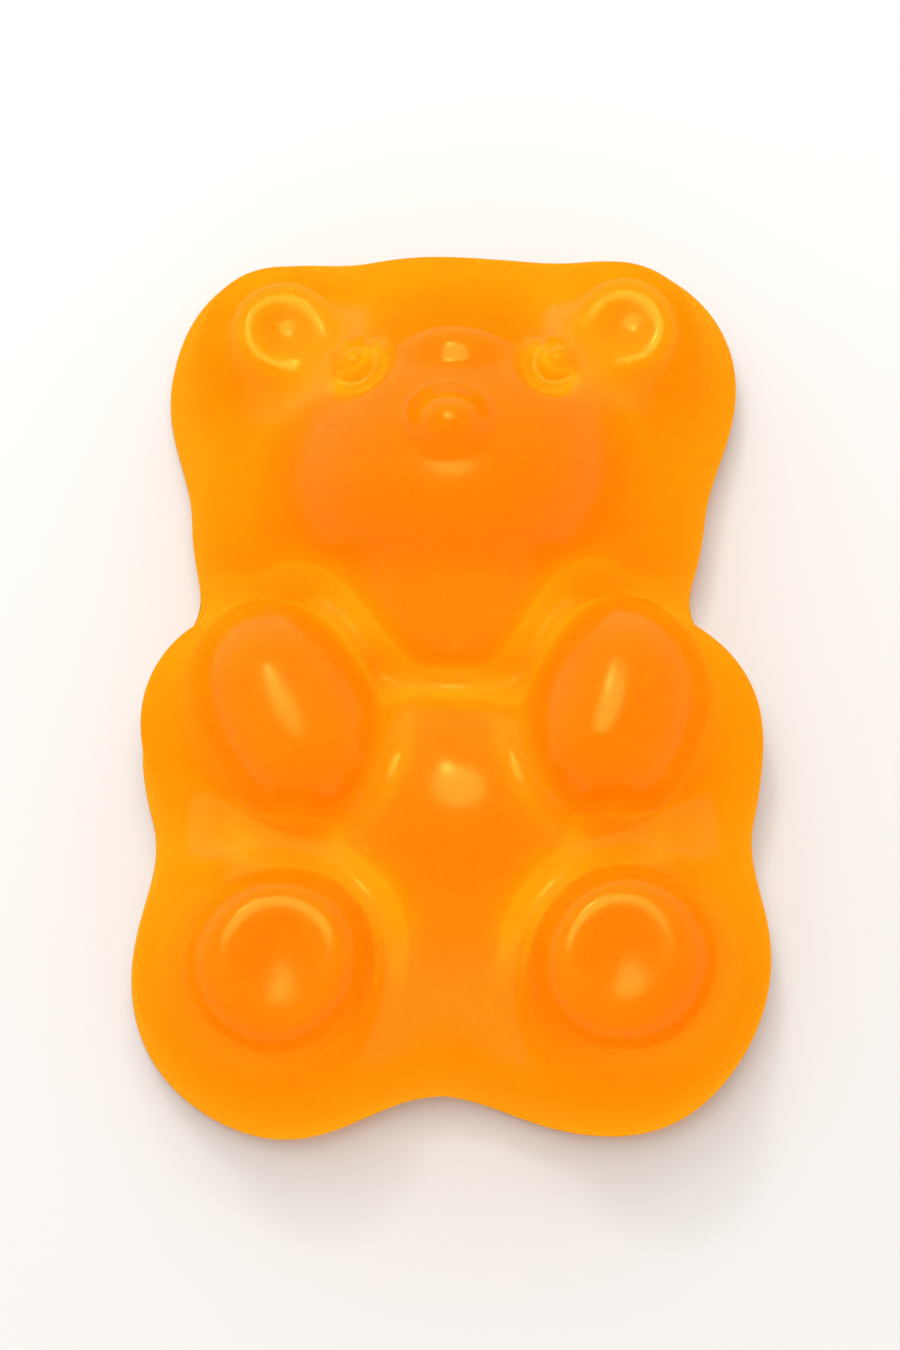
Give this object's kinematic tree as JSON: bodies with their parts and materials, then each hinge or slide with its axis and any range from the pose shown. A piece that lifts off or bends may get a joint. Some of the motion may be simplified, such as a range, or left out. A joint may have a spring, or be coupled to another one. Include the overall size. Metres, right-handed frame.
{
  "type": "gummy bear",
  "caption": "Orange gummy bear: one moulded jelly sweet lying on its flat back, with round ears, paws held to the chest and two upturned feet.",
  "frame": {"origin": "centre of the bounding box at the flat back, on the surface that the bear lies on", "axes": "+Y from the feet to the ears, +Z out of the back towards the face and the soles, +X to the right of someone looking down at the face"},
  "size_m": [0.0158, 0.022, 0.0093],
  "materials": {
    "orange_gum": "translucent satin jelly"
  },
  "bodies": {
    "root": {"gummy_bear": "orange_gum"}
  },
  "joints": []
}
